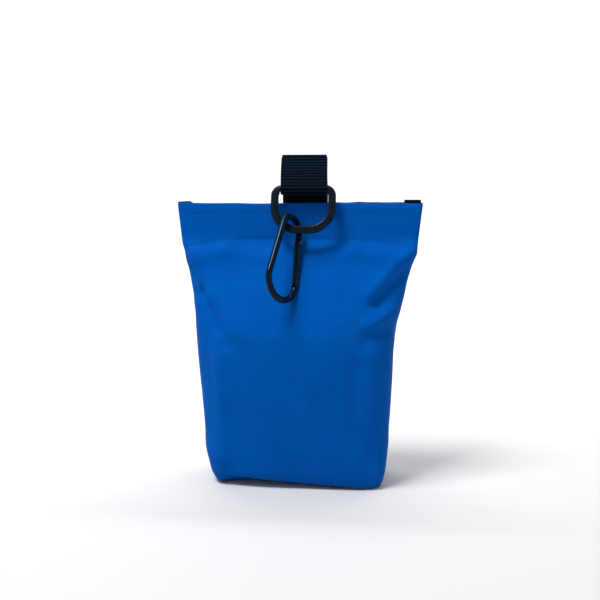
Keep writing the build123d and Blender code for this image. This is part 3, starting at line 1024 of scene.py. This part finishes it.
def tack_rows():
    """Bar tacks over the tab, above the ring."""
    rows = []
    top = Vector((0, *FOLD_START))
    angle = math.radians(touch_angle((top.y, top.z), BAR, LOOP_RADIUS, 1))
    touch = Vector((
        0, BAR[0] + LOOP_RADIUS * math.cos(angle), BAR[1] + LOOP_RADIUS * math.sin(angle),
    ))
    down = (touch - top).normalized()
    out = Vector((0, down.z, -down.y))
    for distance in TACK_ROWS:
        middle = top + down * distance + out * (STRAP_THICK / 2 + THREAD_LIFT)
        for index in range(-8, 8):
            wobble = noise.noise(Vector((index * 3.1, distance, 0.0))) * 0.12
            x = STRAP_X + index * TACK_STEP
            start = middle + Vector((x + 0.1, 0, 0)) + down * wobble
            end = middle + Vector((x + 1.12, 0, 0)) - down * wobble
            rows.append((start, end, out))
    return rows


def box_rows():
    """The sewn box and its cross on the strap's lower end."""
    y = STRAP_Y + STRAP_THICK / 2 + THREAD_LIFT
    middle = (STRAP_LOW + STRAP_BEND) / 2 - 0.6
    corners = [
        Vector((STRAP_X + across * BOX_HALF[0], y, middle + up * BOX_HALF[1]))
        for across, up in ((-1, -1), (1, -1), (1, 1), (-1, 1))
    ]
    lines = [(corners[i], corners[(i + 1) % 4]) for i in range(4)]
    lines += [(corners[0], corners[2]), (corners[1], corners[3])]
    rows = []
    for first, second in lines:
        count = round((second - first).length / BOX_STEP)
        for index in range(count):
            start = first.lerp(second, (index + 0.12) / count)
            end = first.lerp(second, (index + 0.88) / count)
            rows.append((start, end, Vector((0, 1, 0))))
    return rows


finished(
    "tab_tacks", stitch_mesh(tack_rows(), TACK_THREAD), BLACK_THREAD, "tab",
    ("tab_stitching",),
)
finished(
    "strap_box_stitches", stitch_mesh(box_rows(), BOX_THREAD), BLACK_THREAD, "pouch",
    ("strap_stitching",),
)


# ---- hardware ----------------------------------------------------------------------------
HARDWARE = {
    "d_ring": RING_PLASTIC, "carabiner_frame": ANODISED, "gate_tube": ANODISED,
    "gate_rivet": STEEL, "gate_catch_pin": STEEL, "gate_plunger": STEEL,
}
for node, material in HARDWARE.items():
    data = frame["nodes"][node].data
    data.materials.clear()
    data.materials.append(material)


def spring_piece():
    """The gate's spring, carried by the gate; here it keeps its length as its follower is pressed
    in.
    """
    press = next(joint for joint in frame["joints"] if joint["name"] == "plunger_press")
    axis = Vector(press["axis"]).normalized()
    mesh = bmesh.new()
    mesh.from_mesh(frame["nodes"]["gate_spring"].data)
    bmesh.ops.remove_doubles(mesh, verts=mesh.verts, dist=1e-7)
    far = max((vert.co for vert in mesh.verts), key=lambda spot: spot.dot(axis)).copy()
    piece = finished("spring_coil", mesh, STEEL, "gate", ("gate_spring",))
    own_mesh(piece)


spring_piece()


# ---- table, light and camera -------------------------------------------------------------
TABLE_LINE = [
    (0, 0), (1.0, 0), (1.5, 0), (1.75, 0.03), (1.92, 0.14), (2.0, 0.32), (2.03, 0.7), (2.05, 1.3),
]
ROOM_LIGHT = 0.26


def make_table():
    """A pale round top that sweeps up far from the bag."""
    mesh = bmesh.new()
    line = [mesh.verts.new((x, 0, z)) for x, z in TABLE_LINE]
    edges = [mesh.edges.new(pair) for pair in zip(line, line[1:])]
    bmesh.ops.spin(
        mesh, geom=line + edges, axis=(0, 0, 1), cent=(0, 0, 0), angle=2 * math.pi, steps=64,
        use_merge=True,
    )
    bmesh.ops.remove_doubles(mesh, verts=mesh.verts, dist=1e-5)
    bmesh.ops.recalc_face_normals(mesh, faces=mesh.faces)
    data = bpy.data.meshes.new("table_top")
    mesh.to_mesh(data)
    mesh.free()
    data.shade_smooth()
    data.materials.append(PAPER)
    table = bpy.data.objects.new("table_top", data)
    scene.collection.objects.link(table)


def soft_light(name, place, target, size, power):
    """A soft rectangular light that faces its target, in metres and watts."""
    data = bpy.data.lights.new(name, "AREA")
    data.shape = "RECTANGLE"
    data.size, data.size_y = size
    data.energy = power
    light = bpy.data.objects.new(name, data)
    light.location = place
    light.rotation_euler = (Vector(target) - Vector(place)).to_track_quat("-Z", "Y").to_euler()
    scene.collection.objects.link(light)


def make_world():
    """Even white light from all round."""
    world = bpy.data.worlds.new("soft room")
    world.use_nodes = True
    sky = world.node_tree.nodes["Background"].inputs
    sky["Color"].default_value = (1.0, 1.0, 1.0, 1.0)
    sky["Strength"].default_value = ROOM_LIGHT
    scene.world = world


CAMERA_AZIMUTH = 5.0    # degrees to the right of the front
CAMERA_DISTANCE = 0.465 # metres along the table
CAMERA_HEIGHT = 0.156
CAMERA_ANGLE = 39.2     # degrees across the view
CAMERA_TARGET = Vector((0.0005, 0.0, 0.1005))


def make_camera():
    """The camera, a little to the right and level with the mouth."""
    data = bpy.data.cameras.new("camera")
    data.sensor_fit = "HORIZONTAL"
    data.angle = math.radians(CAMERA_ANGLE)
    data.clip_start, data.clip_end = 0.01, 50.0
    camera = bpy.data.objects.new("camera", data)
    turn = math.radians(CAMERA_AZIMUTH)
    camera.location = (
        math.sin(turn) * CAMERA_DISTANCE, -math.cos(turn) * CAMERA_DISTANCE, CAMERA_HEIGHT,
    )
    camera.rotation_euler = (CAMERA_TARGET - camera.location).to_track_quat("-Z", "Y").to_euler()
    scene.collection.objects.link(camera)
    scene.camera = camera


make_table()
make_world()
soft_light("window", (-0.42, -0.38, 1.20), (0, 0, 0.09), (0.45, 0.4), 17.9)
soft_light("strip", (-0.42, -0.62, 0.30), (0, 0, 0.13), (0.022, 0.5), 0.45)
soft_light("fill", (0.95, -0.45, 0.40), (0, 0, 0.09), (0.3, 0.5), 1.5)
soft_light("backdrop", (0.0, 0.55, 1.35), (0, 2.0, 0.35), (1.6, 0.5), 46.0)
make_camera()
scene.view_settings.view_transform = "Standard"
